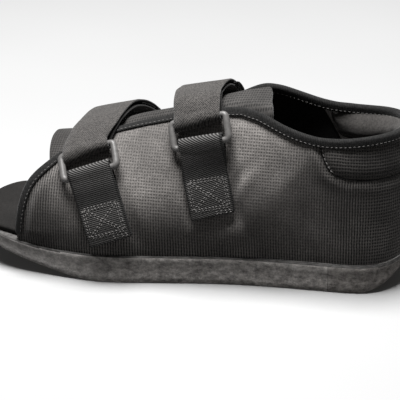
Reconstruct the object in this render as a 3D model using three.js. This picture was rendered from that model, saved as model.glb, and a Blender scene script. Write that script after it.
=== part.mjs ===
// Open-toe postoperative shoe: a rocker sole, an insole, a mesh upper with a bound edge, a tongue,
// a padded collar, and two straps that turn back through plastic rings held by webbing.
// Millimetres. +Z is up, the toe points along -X, the fastening side faces -Y,
// and the origin lies on the ground under the flat of the tread.
import * as THREE from "three";

// Fit between neighbouring pieces
const GAP = 0.3;

// Sole and insole
const HEEL_CENTRE_X = 105.5;
const HEEL_RADIUS = 35.5;
const HEEL_STEPS = 4;
const TOE_TIP_X = -150;
const OUTLINE_STEPS = 92;
const INSOLE_THICKNESS = 4;
const INSOLE_INSET_TOE = 1.5;
const INSOLE_INSET_BODY = 5.4;
const INSOLE_STEP_FROM_X = -131;
const INSOLE_STEP_TO_X = -121.5;

// Upper
const FEATHER_INSET = 1.2;
const WALL = 2.4;
const WALL_ROWS = 7;
const WALL_COLUMNS = 100;
const FULLNESS = 1.6;
const TAPE = 1;
const TAPE_GAP = 0.35;
const TAPE_WIDTH = 6;
const TAPE_START = 0.003;

// Tongue
const TONGUE_THICKNESS = 2.2;
const TONGUE_DEPTH = 4.1;
const TONGUE_TIP_X = -99.5;
const TONGUE_SIDE_X = -94;
const TONGUE_NEAR_REAR_X = 53;
const TONGUE_FAR_REAR_X = 39;
const TONGUE_COLUMNS = 18;
const TONGUE_ROWS = 14;
const TONGUE_START_TURN = 38;
const TONGUE_RISE_TURN = 73;
const TONGUE_LID_EASE = 1.2;

// Collar pad
const PAD_THICKNESS = 6;
const PAD_FRONT_X = 84;
const PAD_COLUMNS = 24;
const PAD_ROWS = 6;
const PAD_TOP_MARGIN = 7;

// Straps, rings and webbing
const STRAP_WIDTH = 31;
const STRAP_THICKNESS = 1.7;
const WEBBING_WIDTH = 29.5;
const WEBBING_THICKNESS = 1.3;
const RING_LENGTH = 36.8;
const RING_HEIGHT = 17;
const RING_CORNER = 2.6;
const RING_BAR_RADIUS = 1.9;
const RING_SIDES = 8;
const RING_CORNER_STEPS = 4;
const BAND_STEPS = 3;
const FOLD_STEPS = 6;
const FOLD_LEAD = 3;
const TAB_WIDTH = 31.5;
const TAB_THICKNESS = 1;
const TAB_FROM = 0.5;
const TAB_TO = 1.5;

// Half width of the sole along its length, from the toe to the start of the round heel
const OUTLINE = [
  { x: -148.6, half: 11 },
  { x: -145, half: 21.5 },
  { x: -138.5, half: 32.5 },
  { x: -129, half: 40.8 },
  { x: -116, half: 45.2 },
  { x: -90, half: 49.5 },
  { x: -56, half: 52.2 },
  { x: -17, half: 46 },
  { x: 21, half: 39.4 },
  { x: 54, half: 36.6 },
  { x: 85, half: 35.9 },
];

// Heights of the sole's tread and of its top along the shoe
const SOLE_PROFILE = [
  { x: -150, tread: 20.5, top: 26.2 },
  { x: -140, tread: 17.3, top: 25.7 },
  { x: -126, tread: 13.2, top: 24.4 },
  { x: -109, tread: 8.8, top: 21.6 },
  { x: -91, tread: 4.6, top: 19.8 },
  { x: -75, tread: 1.2, top: 19.5 },
  { x: -63, tread: 0, top: 19.5 },
  { x: 112, tread: 0, top: 19.5 },
  { x: 121, tread: 1.5, top: 19.5 },
  { x: 128, tread: 4.8, top: 19.7 },
  { x: 133, tread: 8.8, top: 20 },
  { x: 136, tread: 12, top: 20.2 },
  { x: 141, tread: 17, top: 20.5 },
];

// Edge shapes: how far each layer stands in from the outline and how high it lies, from 0 to 1
const SOLE_LAYERS = [
  { inset: 3, level: 0 },
  { inset: 1.2, level: 0.03 },
  { inset: 0.4, level: 0.14 },
  { inset: 0.9, level: 0.5 },
  { inset: 0, level: 0.9 },
  { inset: 0.9, level: 1 },
];
const INSOLE_LAYERS = [
  { inset: 0.4, level: 0 },
  { inset: 0, level: 0.2 },
  { inset: 0, level: 0.75 },
  { inset: 0.9, level: 1 },
];

// Arch of the upper: height its sides would meet at, and how square the arch is
const ARCH = [
  { x: -118, crown: 84, power: 2.3 },
  { x: -104, crown: 85.3, power: 2.3 },
  { x: -88, crown: 87.2, power: 2.3 },
  { x: -60, crown: 93.5, power: 2.25 },
  { x: -20, crown: 106, power: 2.25 },
  { x: 20, crown: 122.5, power: 2.4 },
  { x: 38, crown: 133, power: 2.6 },
  { x: 55, crown: 141, power: 3 },
  { x: 75, crown: 150, power: 3.6 },
  { x: 95, crown: 158, power: 4 },
  { x: 141, crown: 162, power: 4 },
];

// Bound edge of the upper: where it leaves the seam line along the sole, and its height on each side
const EDGE = [
  { x: -115, near: 24.6, far: 24.6 },
  { x: -114.3, near: 34, far: 34 },
  { x: -113.2, near: 44, far: 43 },
  { x: -111.6, near: 53.5, far: 51 },
  { x: -109, near: 61.5, far: 57.5 },
  { x: -104.5, near: 68, far: 62.5 },
  { x: -98, near: 73.8, far: 67 },
  { x: -88, near: 81, far: 71.5 },
  { x: -70, near: 88.6, far: 78.5 },
  { x: -46, near: 95.5, far: 86 },
  { x: -20, near: 103.6, far: 94.5 },
  { x: 5, near: 111.5, far: 103 },
  { x: 26, near: 117.2, far: 112.6 },
  { x: 38, near: 118.4, far: 118.8 },
  { x: 48, near: 116.4, far: 118 },
  { x: 58, near: 112.2, far: 114.2 },
  { x: 70, near: 108.4, far: 109.6 },
  { x: 80, near: 106.3, far: 106.8 },
  { x: 90, near: 105.4, far: 105.5 },
  { x: 100, near: 106, far: 105.2 },
  { x: 112, near: 107.6, far: 105.5 },
  { x: 125, near: 109, far: 106.8 },
  { x: 141, near: 109.6, far: 109.6 },
];

// Lower edge of the collar pad
const PAD_LOWER = [
  { x: 84, height: 97 },
  { x: 88, height: 90 },
  { x: 95, height: 85 },
  { x: 103, height: 84 },
  { x: 122, height: 86.5 },
  { x: 141, height: 88 },
];

// How far the tongue swells between the flaps, and the height at which its top is flattened
const TONGUE_TOP = [
  { x: -100, rise: 2.2, lid: 95 },
  { x: -70, rise: 2, lid: 102 },
  { x: -42, rise: 2.6, lid: 111 },
  { x: -15, rise: 1, lid: 116 },
  { x: 0, rise: 0, lid: 117 },
  { x: 20, rise: 0, lid: 118.4 },
  { x: 40, rise: 0, lid: 120.6 },
  { x: 52, rise: 0, lid: 121 },
];

// Where each strap crosses the shoe. Turn runs from 0 at the near seam to 180 at the far seam, lift is
// the height of the lower layer above the arch, over is the rise from it to the layer turned back,
// and tip is the angle by which the strap's toe edge stands higher off the arch than its heel edge.
const FRONT_STRAP = [
  { x: -39, turn: 154, lift: 2, over: 0, tip: 0 },
  { x: -43, turn: 142, lift: 2.6, over: 0, tip: 2 },
  { x: -47, turn: 130, lift: 3.6, over: 3.9, tip: 4 },
  { x: -52, turn: 117, lift: 4, over: 3.9, tip: 6 },
  { x: -59, turn: 103, lift: 4.2, over: 3.6, tip: 7 },
  { x: -64.5, turn: 88, lift: 4.7, over: 2.6, tip: 7 },
  { x: -67.5, turn: 75, lift: 5.4, over: 2.6, tip: 5 },
];
const REAR_STRAP = [
  { x: 13, turn: 156, lift: 2, over: 0, tip: 0 },
  { x: 12, turn: 144, lift: 3, over: 0, tip: 0 },
  { x: 11, turn: 132, lift: 3.6, over: 3.7, tip: 1 },
  { x: 10, turn: 118, lift: 3.7, over: 3.7, tip: 3 },
  { x: 9, turn: 104, lift: 3.2, over: 3.2, tip: 8 },
  { x: 8, turn: 89, lift: 2.4, over: 3, tip: 13 },
  { x: 8, turn: 76, lift: 5.2, over: 3.6, tip: 11 },
];
const FRONT_RING = { x: -65.5, turn: 50, lift: 5.8, twist: 10 };
const REAR_RING = { x: 10, turn: 53.5, lift: 6.4, twist: -6 };
const FRONT_WEBBING = [
  { x: -48, height: 31, lift: 1.2 },
  { x: -51.5, height: 43, lift: 1.2 },
  { x: -56, height: 56, lift: 1.4 },
];
const REAR_WEBBING = [
  { x: 17.5, height: 50, lift: 1.5 },
  { x: 14.5, height: 66, lift: 1.5 },
  { x: 11.5, height: 80, lift: 1.6 },
];

// Smooth curve through one column of a table, level wherever neighbouring rows are level
function column(rows, name) {
  const xs = rows.map((row) => Object.values(row)[0]);
  const ys = rows.map((row) => row[name]);
  const last = xs.length - 1;
  const slopes = [];
  for (let i = 0; i < last; i += 1) {
    slopes.push((ys[i + 1] - ys[i]) / (xs[i + 1] - xs[i]));
  }
  const tangents = ys.map((y, i) => {
    if (i === 0) {
      return slopes[0];
    }
    if (i === last) {
      return slopes[last - 1];
    }
    if (slopes[i - 1] * slopes[i] <= 0) {
      return 0;
    }
    return (2 * slopes[i - 1] * slopes[i]) / (slopes[i - 1] + slopes[i]);
  });
  return (x) => {
    const at = Math.min(Math.max(x, xs[0]), xs[last]);
    let i = 0;
    while (i < last - 1 && at > xs[i + 1]) {
      i += 1;
    }
    const span = xs[i + 1] - xs[i];
    const t = (at - xs[i]) / span;
    const h01 = t * t * (3 - 2 * t);
    const h10 = t * (1 - t) * (1 - t);
    const h11 = t * t * (t - 1);
    return ys[i] * (1 - h01) + ys[i + 1] * h01 + span * (tangents[i] * h10 + tangents[i + 1] * h11);
  };
}

const treadAt = column(SOLE_PROFILE, "tread");
const topAt = column(SOLE_PROFILE, "top");
const crownAt = column(ARCH, "crown");
const powerAt = column(ARCH, "power");
const padLowerAt = column(PAD_LOWER, "height");
const riseAt = column(TONGUE_TOP, "rise");
const lidAt = column(TONGUE_TOP, "lid");

// Triangles across the end of a loop whose two long sides run there and back
function ladder(size) {
  const triangles = [];
  for (let j = 0; j < size / 2 - 1; j += 1) {
    const k = size - 1 - j;
    triangles.push([j, j + 1, k - 1], [j, k - 1, k]);
  }
  return triangles;
}

// Solid between a row of closed loops, closed by the given end triangles or joined into a ring
function loft(loops, ends) {
  const size = loops[0].length;
  const positions = loops.flat().flatMap((point) => [point.x, point.y, point.z]);
  const faces = [];
  const spans = ends ? loops.length - 1 : loops.length;
  for (let i = 0; i < spans; i += 1) {
    const next = (i + 1) % loops.length;
    for (let j = 0; j < size; j += 1) {
      const k = (j + 1) % size;
      faces.push(i * size + j, next * size + j, next * size + k);
      faces.push(i * size + j, next * size + k, i * size + k);
    }
  }
  const last = spans * size;
  for (const [a, b, c] of ends ?? []) {
    faces.push(a, b, c, last + c, last + b, last + a);
  }
  return solid(positions, faces);
}

// Geometry from points and triangles, turned so that its faces look outwards
function solid(positions, faces) {
  let volume = 0;
  const a = new THREE.Vector3();
  const b = new THREE.Vector3();
  const c = new THREE.Vector3();
  for (let i = 0; i < faces.length; i += 3) {
    a.fromArray(positions, faces[i] * 3);
    b.fromArray(positions, faces[i + 1] * 3);
    c.fromArray(positions, faces[i + 2] * 3);
    volume += a.dot(b.cross(c));
  }
  const geometry = new THREE.BufferGeometry();
  geometry.setAttribute("position", new THREE.Float32BufferAttribute(positions, 3));
  geometry.setIndex(volume < 0 ? faces.slice().reverse() : faces);
  geometry.computeVertexNormals();
  return geometry;
}

// Outline of the sole, from the heel's back along the near side to the toe and back along the far side
const nearSide = [];
for (let i = 1; i <= HEEL_STEPS; i += 1) {
  const angle = (i / HEEL_STEPS) * (Math.PI / 2);
  const x = HEEL_CENTRE_X + HEEL_RADIUS * Math.cos(angle);
  nearSide.push(new THREE.Vector3(x, -HEEL_RADIUS * Math.sin(angle), 0));
}
for (const row of OUTLINE.slice().reverse()) {
  nearSide.push(new THREE.Vector3(row.x, -row.half, 0));
}
const farSide = nearSide.map((point) => new THREE.Vector3(point.x, -point.y, 0)).reverse();
const heelBack = new THREE.Vector3(HEEL_CENTRE_X + HEEL_RADIUS, 0, 0);
const toeTip = new THREE.Vector3(TOE_TIP_X, 0, 0);
const rim = [heelBack, ...nearSide, toeTip, ...farSide];
const outline = new THREE.CatmullRomCurve3(rim, true, "centripetal");
outline.arcLengthDivisions = 1600;

// Point of the near outline at a share of its way from the heel's back to the toe tip
function outlineAt(share) {
  const point = outline.getPointAt(share / 2);
  const tangent = outline.getTangentAt(share / 2);
  return { point, out: new THREE.Vector3(-tangent.y, tangent.x, 0).normalize() };
}

// Share of the way along the near outline at a distance along the shoe
function shareAt(x) {
  let low = 0;
  let high = 1;
  for (let i = 0; i < 44; i += 1) {
    const middle = (low + high) / 2;
    if (outlineAt(middle).point.x > x) {
      low = middle;
    } else {
      high = middle;
    }
  }
  return (low + high) / 2;
}

// Slab that follows the outline: one pair of rims per layer, closed by ladders of level rungs
function slab(layers, insetAt, heightAt) {
  const half = OUTLINE_STEPS / 2;
  const loops = layers.map((layer) => {
    const near = [];
    for (let i = 0; i <= half; i += 1) {
      const { point, out } = outlineAt(i / half);
      const inset = layer.inset + insetAt(point.x);
      const rim = point.clone().addScaledVector(out, -inset);
      rim.y = i === 0 || i === half ? 0 : rim.y;
      rim.z = heightAt(rim.x, layer.level);
      near.push(rim);
    }
    const far = near.slice(1, half).reverse();
    return [...near, ...far.map((rim) => new THREE.Vector3(rim.x, -rim.y, rim.z))];
  });
  const size = OUTLINE_STEPS;
  const positions = loops.flat().flatMap((point) => [point.x, point.y, point.z]);
  const faces = [];
  for (let i = 0; i < loops.length - 1; i += 1) {
    for (let j = 0; j < size; j += 1) {
      const k = (j + 1) % size;
      faces.push(i * size + j, i * size + k, (i + 1) * size + k);
      faces.push(i * size + j, (i + 1) * size + k, (i + 1) * size + j);
    }
  }
  const top = (loops.length - 1) * size;
  for (let j = 0; j < half; j += 1) {
    const rungs = [j, j + 1, (size - j - 1) % size, (size - j) % size];
    if (j > 0) {
      faces.push(rungs[0], rungs[3], rungs[2]);
      faces.push(top + rungs[2], top + rungs[3], top + rungs[0]);
    }
    if (j < half - 1) {
      faces.push(rungs[0], rungs[2], rungs[1]);
      faces.push(top + rungs[1], top + rungs[2], top + rungs[0]);
    }
  }
  return solid(positions, faces);
}

// Outer face of the upper as an arch over the seam line. Turn is 0 at the near seam, 90 at the top
// and 180 at the far seam.
function arch(share, turn) {
  const mirrored = turn > 90;
  const angle = THREE.MathUtils.degToRad(mirrored ? 180 - turn : turn);
  const { point, out } = outlineAt(share);
  const power = powerAt(point.x);
  const base = topAt(point.x) + GAP;
  const rise = crownAt(point.x) - base;
  const reach = Math.abs(out.y) > 0.01 ? Math.abs(point.y / out.y) : HEEL_RADIUS;
  const depth = reach - FEATHER_INSET;
  const height = rise * Math.pow(Math.max(Math.sin(angle), 0), 2 / power);
  const width = depth * Math.pow(Math.max(Math.cos(angle), 0), 2 / power);
  const fullness = FULLNESS * Math.sin(Math.PI * Math.min(height / 80, 1)) * (width / depth);
  const spot = point.clone().addScaledVector(out, width + fullness - reach);
  spot.z = base + height;
  spot.y = mirrored ? -spot.y : spot.y;
  return spot;
}

// Point of an arch with the directions along the seam, up the arch and out of it
function archFrame(share, turn) {
  const shareStep = 0.002;
  const turnStep = 0.4;
  const ahead = arch(share + shareStep, turn);
  const behind = arch(Math.abs(share - shareStep), turn);
  if (share < shareStep) {
    behind.y = -behind.y;
  }
  const along = ahead.sub(behind).divideScalar(2 * shareStep);
  const lower = arch(share, Math.max(turn - turnStep, 0));
  const upper = arch(share, turn + turnStep);
  const turned = turnStep + Math.min(turn, turnStep);
  const up = upper.sub(lower).divideScalar(turned);
  const normal = up.clone().cross(along).normalize();
  return { point: arch(share, turn), along, up, normal };
}

// Turn at which the near side of the upper reaches a height
function turnAtHeight(x, height) {
  const base = topAt(x) + GAP;
  const part = Math.min(Math.max((height - base) / (crownAt(x) - base), 0), 1);
  return THREE.MathUtils.radToDeg(Math.asin(Math.pow(part, powerAt(x) / 2)));
}

// One side of the bound edge as shares and turns, from the toe opening's foot to the heel's back
function edgeSide(name) {
  let reach = 0;
  let before = null;
  const rows = EDGE.map((row, i) => {
    const share = i === EDGE.length - 1 ? 0 : shareAt(row.x);
    const turn = turnAtHeight(row.x, row[name]);
    const spot = arch(share, turn);
    reach += before ? spot.distanceTo(before) : 0;
    before = spot;
    return { reach, share, turn };
  });
  const scaled = rows.map((row) => ({ reach: row.reach / reach, share: row.share, turn: row.turn }));
  const heightAt = column(EDGE, name);
  return { shareAt: column(scaled, "share"), turnAt: column(scaled, "turn"), heightAt };
}

const edgeSides = { near: edgeSide("near"), far: edgeSide("far") };

// Place on the bound edge, from 0 at the near toe through 0.5 at the heel's back to 1 at the far toe
function edgePlace(way) {
  const far = way > 0.5;
  const side = far ? edgeSides.far : edgeSides.near;
  const reach = far ? (1 - way) * 2 : way * 2;
  return { share: side.shareAt(reach), turn: side.turnAt(reach), far, side, reach };
}

// Point of the upper's skin, at a depth into its thickness
function skin(share, turn, far, depth) {
  const frame = archFrame(share, turn);
  const spot = frame.point.addScaledVector(frame.normal, -depth);
  spot.y = far ? -spot.y : spot.y;
  return spot;
}

// Wall of the upper, in columns that run from the seam line to the bound edge
function upperGeometry() {
  const front = edgePlace(0).share;
  const loops = [];
  for (let i = 0; i <= WALL_COLUMNS; i += 1) {
    const way = i / WALL_COLUMNS;
    const edge = edgePlace(way);
    const foot = front * Math.abs(1 - 2 * way);
    const outer = [];
    const inner = [];
    for (let j = 0; j <= WALL_ROWS; j += 1) {
      const t = 1 - Math.pow(1 - j / WALL_ROWS, 1.5);
      const share = THREE.MathUtils.lerp(foot, edge.share, Math.pow(t, 0.6));
      const turn = edge.turn * t;
      outer.push(skin(share, turn, edge.far, 0));
      inner.push(skin(share, turn, edge.far, WALL));
    }
    loops.push([...outer, ...inner.reverse()]);
  }
  return loft(loops, ladder(loops[0].length));
}

// Folded tape over the bound edge, laid out as points across the edge and out of the skin
const TAPE_SECTION = [
  { inward: TAPE_WIDTH, out: TAPE_GAP },
  { inward: TAPE_WIDTH, out: TAPE_GAP + TAPE },
  { inward: 1.2, out: TAPE_GAP + TAPE },
  { inward: -TAPE_GAP, out: TAPE_GAP + 0.7 },
  { inward: -TAPE_GAP - TAPE, out: -0.4 },
  { inward: -TAPE_GAP - TAPE, out: -WALL + 0.4 },
  { inward: -TAPE_GAP, out: -WALL - TAPE_GAP - 0.7 },
  { inward: 1.2, out: -WALL - TAPE_GAP - TAPE },
  { inward: TAPE_WIDTH, out: -WALL - TAPE_GAP - TAPE },
  { inward: TAPE_WIDTH, out: -WALL - TAPE_GAP },
  { inward: -TAPE_GAP, out: -WALL - TAPE_GAP },
  { inward: -TAPE_GAP, out: TAPE_GAP },
];

// Direction across the edge, as changes of share and turn for each millimetre into the wall
function inwardStep(edge) {
  const step = 0.003;
  const shareRun = edge.side.shareAt(edge.reach + step) - edge.side.shareAt(edge.reach - step);
  const turnRun = edge.side.turnAt(edge.reach + step) - edge.side.turnAt(edge.reach - step);
  const { along, up, normal } = archFrame(edge.share, edge.turn);
  const run = along.clone().multiplyScalar(shareRun).addScaledVector(up, turnRun).normalize();
  const inward = run.cross(normal).normalize();
  const alongAlong = along.dot(along);
  const alongUp = along.dot(up);
  const upUp = up.dot(up);
  const determinant = alongAlong * upUp - alongUp * alongUp;
  const alongIn = along.dot(inward);
  const upIn = up.dot(inward);
  return {
    share: (alongIn * upUp - upIn * alongUp) / determinant,
    turn: (upIn * alongAlong - alongIn * alongUp) / determinant,
  };
}

function bindingGeometry() {
  const loops = [];
  for (let i = 0; i <= WALL_COLUMNS; i += 1) {
    const edge = edgePlace(THREE.MathUtils.lerp(TAPE_START, 1 - TAPE_START, i / WALL_COLUMNS));
    const inward = inwardStep(edge);
    loops.push(TAPE_SECTION.map((spot) => {
      const share = Math.max(edge.share + inward.share * spot.inward, 0);
      const turn = Math.max(edge.turn + inward.turn * spot.inward, 0);
      return skin(share, turn, edge.far, -spot.out);
    }));
  }
  const section = TAPE_SECTION.map((spot) => new THREE.Vector2(spot.inward, spot.out));
  const triangles = THREE.ShapeUtils.triangulateShape(section, []);
  return loft(loops, triangles.map((triangle) => triangle.sort((a, b) => a - b)));
}

// Share at which a given turn of the arch lies at a distance along the shoe
function shareAcross(x, turn) {
  let low = 0;
  let high = 1;
  for (let i = 0; i < 40; i += 1) {
    const middle = (low + high) / 2;
    if (arch(middle, turn).x > x) {
      low = middle;
    } else {
      high = middle;
    }
  }
  return (low + high) / 2;
}

// Tongue: an arch under the flaps, raised between them and flattened under the rear of the instep
function tongueGeometry() {
  const rows = [];
  for (let j = 0; j <= TONGUE_ROWS; j += 1) {
    const across = THREE.MathUtils.lerp(TONGUE_START_TURN, 180 - TONGUE_START_TURN, j / TONGUE_ROWS);
    const far = across > 90;
    const turn = far ? 180 - across : across;
    const middle = THREE.MathUtils.smoothstep(turn, TONGUE_START_TURN, 80);
    const frontX = THREE.MathUtils.lerp(TONGUE_SIDE_X, TONGUE_TIP_X, middle);
    const rearX = THREE.MathUtils.lerp(TONGUE_NEAR_REAR_X, TONGUE_FAR_REAR_X, j / TONGUE_ROWS);
    rows.push({ far, turn, front: shareAcross(frontX, turn), rear: shareAcross(rearX, turn) });
  }
  const loops = [];
  for (let i = 0; i <= TONGUE_COLUMNS; i += 1) {
    const faces = [0, TONGUE_THICKNESS].map((under) => rows.map((row) => {
      const share = THREE.MathUtils.lerp(row.rear, row.front, i / TONGUE_COLUMNS);
      const { x } = arch(share, row.turn);
      const rise = riseAt(x) * THREE.MathUtils.smoothstep(row.turn, TONGUE_RISE_TURN, 90);
      const spot = skin(share, row.turn, row.far, TONGUE_DEPTH - rise + under);
      const over = Math.exp((spot.z - lidAt(x) + under) / TONGUE_LID_EASE);
      spot.z -= TONGUE_LID_EASE * Math.log(1 + over);
      return spot;
    }));
    loops.push([...faces[0], ...faces[1].reverse()]);
  }
  return loft(loops, ladder(loops[0].length));
}

// Padded band inside the heel, thickest in its middle and thin along its edges
function padGeometry() {
  const front = shareAt(PAD_FRONT_X);
  const loops = [];
  for (let i = 0; i <= PAD_COLUMNS; i += 1) {
    const way = i / PAD_COLUMNS;
    const share = front * Math.abs(1 - 2 * way);
    const far = way > 0.5;
    const { x } = outlineAt(share).point;
    const lower = turnAtHeight(x, padLowerAt(x));
    const edge = far ? edgeSides.far.heightAt(x) : edgeSides.near.heightAt(x);
    const upper = turnAtHeight(x, edge - PAD_TOP_MARGIN);
    const ends = Math.min(1, 6 * way + 0.25, 6 * (1 - way) + 0.25);
    const outer = [];
    const inner = [];
    for (let j = 0; j <= PAD_ROWS; j += 1) {
      const t = j / PAD_ROWS;
      const turn = THREE.MathUtils.lerp(lower, upper, t);
      const swell = 0.2 + 0.8 * Math.pow(Math.sin(Math.PI * t), 0.6);
      outer.push(skin(share, turn, far, WALL + GAP));
      inner.push(skin(share, turn, far, WALL + GAP + PAD_THICKNESS * swell * ends));
    }
    loops.push([...outer, ...inner.reverse()]);
  }
  return loft(loops, ladder(loops[0].length));
}

// Ring frame: long axis along the arch, short axis up the arch, facing out of it
function ringFrame(place) {
  const share = shareAt(place.x);
  const frame = archFrame(share, place.turn);
  const face = frame.normal;
  const length = frame.along.clone().negate();
  length.addScaledVector(face, -length.dot(face)).normalize();
  length.applyAxisAngle(face, THREE.MathUtils.degToRad(place.twist));
  const height = face.clone().cross(length).normalize();
  const centre = frame.point.clone().addScaledVector(face, place.lift);
  return { centre, length, height, face };
}

// Round bar bent into a rounded rectangle
function ringGeometry(frame) {
  const corners = [
    { length: 1, height: 1, start: 0 },
    { length: -1, height: 1, start: 90 },
    { length: -1, height: -1, start: 180 },
    { length: 1, height: -1, start: 270 },
  ];
  const loops = [];
  for (const corner of corners) {
    for (let i = 0; i <= RING_CORNER_STEPS; i += 1) {
      const angle = THREE.MathUtils.degToRad(corner.start + (90 * i) / RING_CORNER_STEPS);
      const out = frame.length.clone().multiplyScalar(Math.cos(angle));
      out.addScaledVector(frame.height, Math.sin(angle));
      const middle = frame.centre.clone();
      middle.addScaledVector(frame.length, corner.length * (RING_LENGTH / 2 - RING_CORNER));
      middle.addScaledVector(frame.height, corner.height * (RING_HEIGHT / 2 - RING_CORNER));
      middle.addScaledVector(out, RING_CORNER);
      const loop = [];
      for (let j = 0; j < RING_SIDES; j += 1) {
        const roll = (j / RING_SIDES) * Math.PI * 2;
        const spot = middle.clone().addScaledVector(out, RING_BAR_RADIUS * Math.cos(roll));
        loop.push(spot.addScaledVector(frame.face, RING_BAR_RADIUS * Math.sin(roll)));
      }
      loops.push(loop);
    }
  }
  return loft(loops, null);
}

// Flat band along a row of places, each with a point and the direction of the band's width there
function band(places, width, thickness, first, last) {
  const points = places.map((place) => place.point);
  const path = new THREE.CatmullRomCurve3(points, false, "centripetal");
  const spans = places.length - 1;
  const steps = spans * BAND_STEPS;
  const loops = [];
  for (let i = first * BAND_STEPS; i <= last * BAND_STEPS; i += 1) {
    const from = Math.min(Math.floor(i / BAND_STEPS), spans - 1);
    const point = path.getPoint(i / steps);
    const run = path.getTangent(i / steps);
    const side = places[from].side.clone().lerp(places[from + 1].side, i / BAND_STEPS - from);
    const face = run.clone().cross(side.normalize()).normalize();
    const corners = [
      { sideways: -0.5, outward: 0.5 },
      { sideways: 0.5, outward: 0.5 },
      { sideways: 0.5, outward: -0.5 },
      { sideways: -0.5, outward: -0.5 },
    ];
    loops.push(corners.map((corner) => {
      const spot = point.clone().addScaledVector(side, corner.sideways * width);
      return spot.addScaledVector(face, corner.outward * thickness);
    }));
  }
  return loft(loops, ladder(loops[0].length));
}

// Turn of a band round one long bar of a ring, from the place before it to the place after it
function barTurn(frame, end, thickness, before, after) {
  const radius = RING_BAR_RADIUS + GAP + thickness / 2;
  const bar = frame.centre.clone().addScaledVector(frame.height, (end * RING_HEIGHT) / 2);
  const inner = frame.face.clone().negate();
  const round = frame.height.clone().multiplyScalar(-end);
  const touchAngle = (place, side) => {
    const reach = place.point.clone().sub(bar);
    const distance = Math.hypot(reach.dot(inner), reach.dot(round));
    return Math.atan2(reach.dot(round), reach.dot(inner)) + side * Math.acos(radius / distance);
  };
  const from = touchAngle(before, 1);
  const to = touchAngle(after, -1) + Math.PI * 2;
  const places = [];
  for (let i = -1; i <= FOLD_STEPS + 1; i += 1) {
    const step = THREE.MathUtils.clamp(i, 0, FOLD_STEPS);
    const angle = THREE.MathUtils.lerp(from, to, step / FOLD_STEPS);
    const ahead = (i - step) * FOLD_LEAD;
    const point = bar.clone();
    point.addScaledVector(inner, radius * Math.cos(angle) - ahead * Math.sin(angle));
    point.addScaledVector(round, radius * Math.sin(angle) + ahead * Math.cos(angle));
    places.push({ point, side: frame.length });
  }
  return places;
}

// Place of a band above the arch, its width along the shoe
function overArch(row, rise) {
  const frame = archFrame(shareAt(row.x), row.turn);
  const side = frame.along.negate().normalize();
  side.applyAxisAngle(frame.up.normalize(), THREE.MathUtils.degToRad(row.tip));
  const out = side.clone().cross(frame.up);
  return { point: frame.point.addScaledVector(out, row.lift + rise), side };
}

// Strap: from the far side over the instep, round the ring's upper bar, and back over itself
function strapGeometry(rows, frame) {
  const under = rows.map((row) => overArch(row, 0));
  const back = rows.filter((row) => row.over > 0).map((row) => overArch(row, row.over)).reverse();
  const fold = barTurn(frame, 1, STRAP_THICKNESS, under[under.length - 1], back[0]);
  const places = [...under, ...fold, ...back];
  return band(places, STRAP_WIDTH, STRAP_THICKNESS, 0, places.length - 1);
}

// Hook end between the two layers of a strap, where they lie furthest apart
function tabGeometry(rows, aside) {
  const places = rows.map((row) => overArch(row, row.over / 2));
  for (const place of places) {
    place.point.addScaledVector(place.side, aside);
  }
  const first = rows.findIndex((row) => row.over > 0);
  return band(places, TAB_WIDTH, TAB_THICKNESS, first + TAB_FROM, first + TAB_TO);
}

// Webbing: up the near wall, round the ring's lower bar, and down over itself
function webbingGeometry(rows, frame) {
  const place = (row, rise) => {
    const spot = archFrame(shareAt(row.x), turnAtHeight(row.x, row.height));
    const side = frame.length.clone().addScaledVector(spot.normal, -frame.length.dot(spot.normal));
    return { point: spot.point.addScaledVector(spot.normal, row.lift + rise), side: side.normalize() };
  };
  const inner = rows.map((row) => place(row, 0));
  const outer = rows.map((row) => place(row, WEBBING_THICKNESS + GAP)).reverse();
  const fold = barTurn(frame, -1, WEBBING_THICKNESS, inner[inner.length - 1], outer[0]);
  const places = [...inner, ...fold, ...outer];
  return band(places, WEBBING_WIDTH, WEBBING_THICKNESS, 0, places.length - 1);
}

const frontRing = ringFrame(FRONT_RING);
const rearRing = ringFrame(REAR_RING);
const soleHeight = (x, level) => THREE.MathUtils.lerp(treadAt(x), topAt(x), level);
const insoleHeight = (x, level) => topAt(x) + GAP + INSOLE_THICKNESS * level;
const insoleInset = (x) => {
  const t = THREE.MathUtils.smoothstep(x, INSOLE_STEP_FROM_X, INSOLE_STEP_TO_X);
  return THREE.MathUtils.lerp(INSOLE_INSET_TOE, INSOLE_INSET_BODY, t);
};

const soleSlab = slab(SOLE_LAYERS, () => 0, soleHeight);
const insoleSlab = slab(INSOLE_LAYERS, insoleInset, insoleHeight);
const frontStrap = strapGeometry(FRONT_STRAP, frontRing);
const rearStrap = strapGeometry(REAR_STRAP, rearRing);
const frontWebbing = webbingGeometry(FRONT_WEBBING, frontRing);
const rearWebbing = webbingGeometry(REAR_WEBBING, rearRing);

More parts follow.
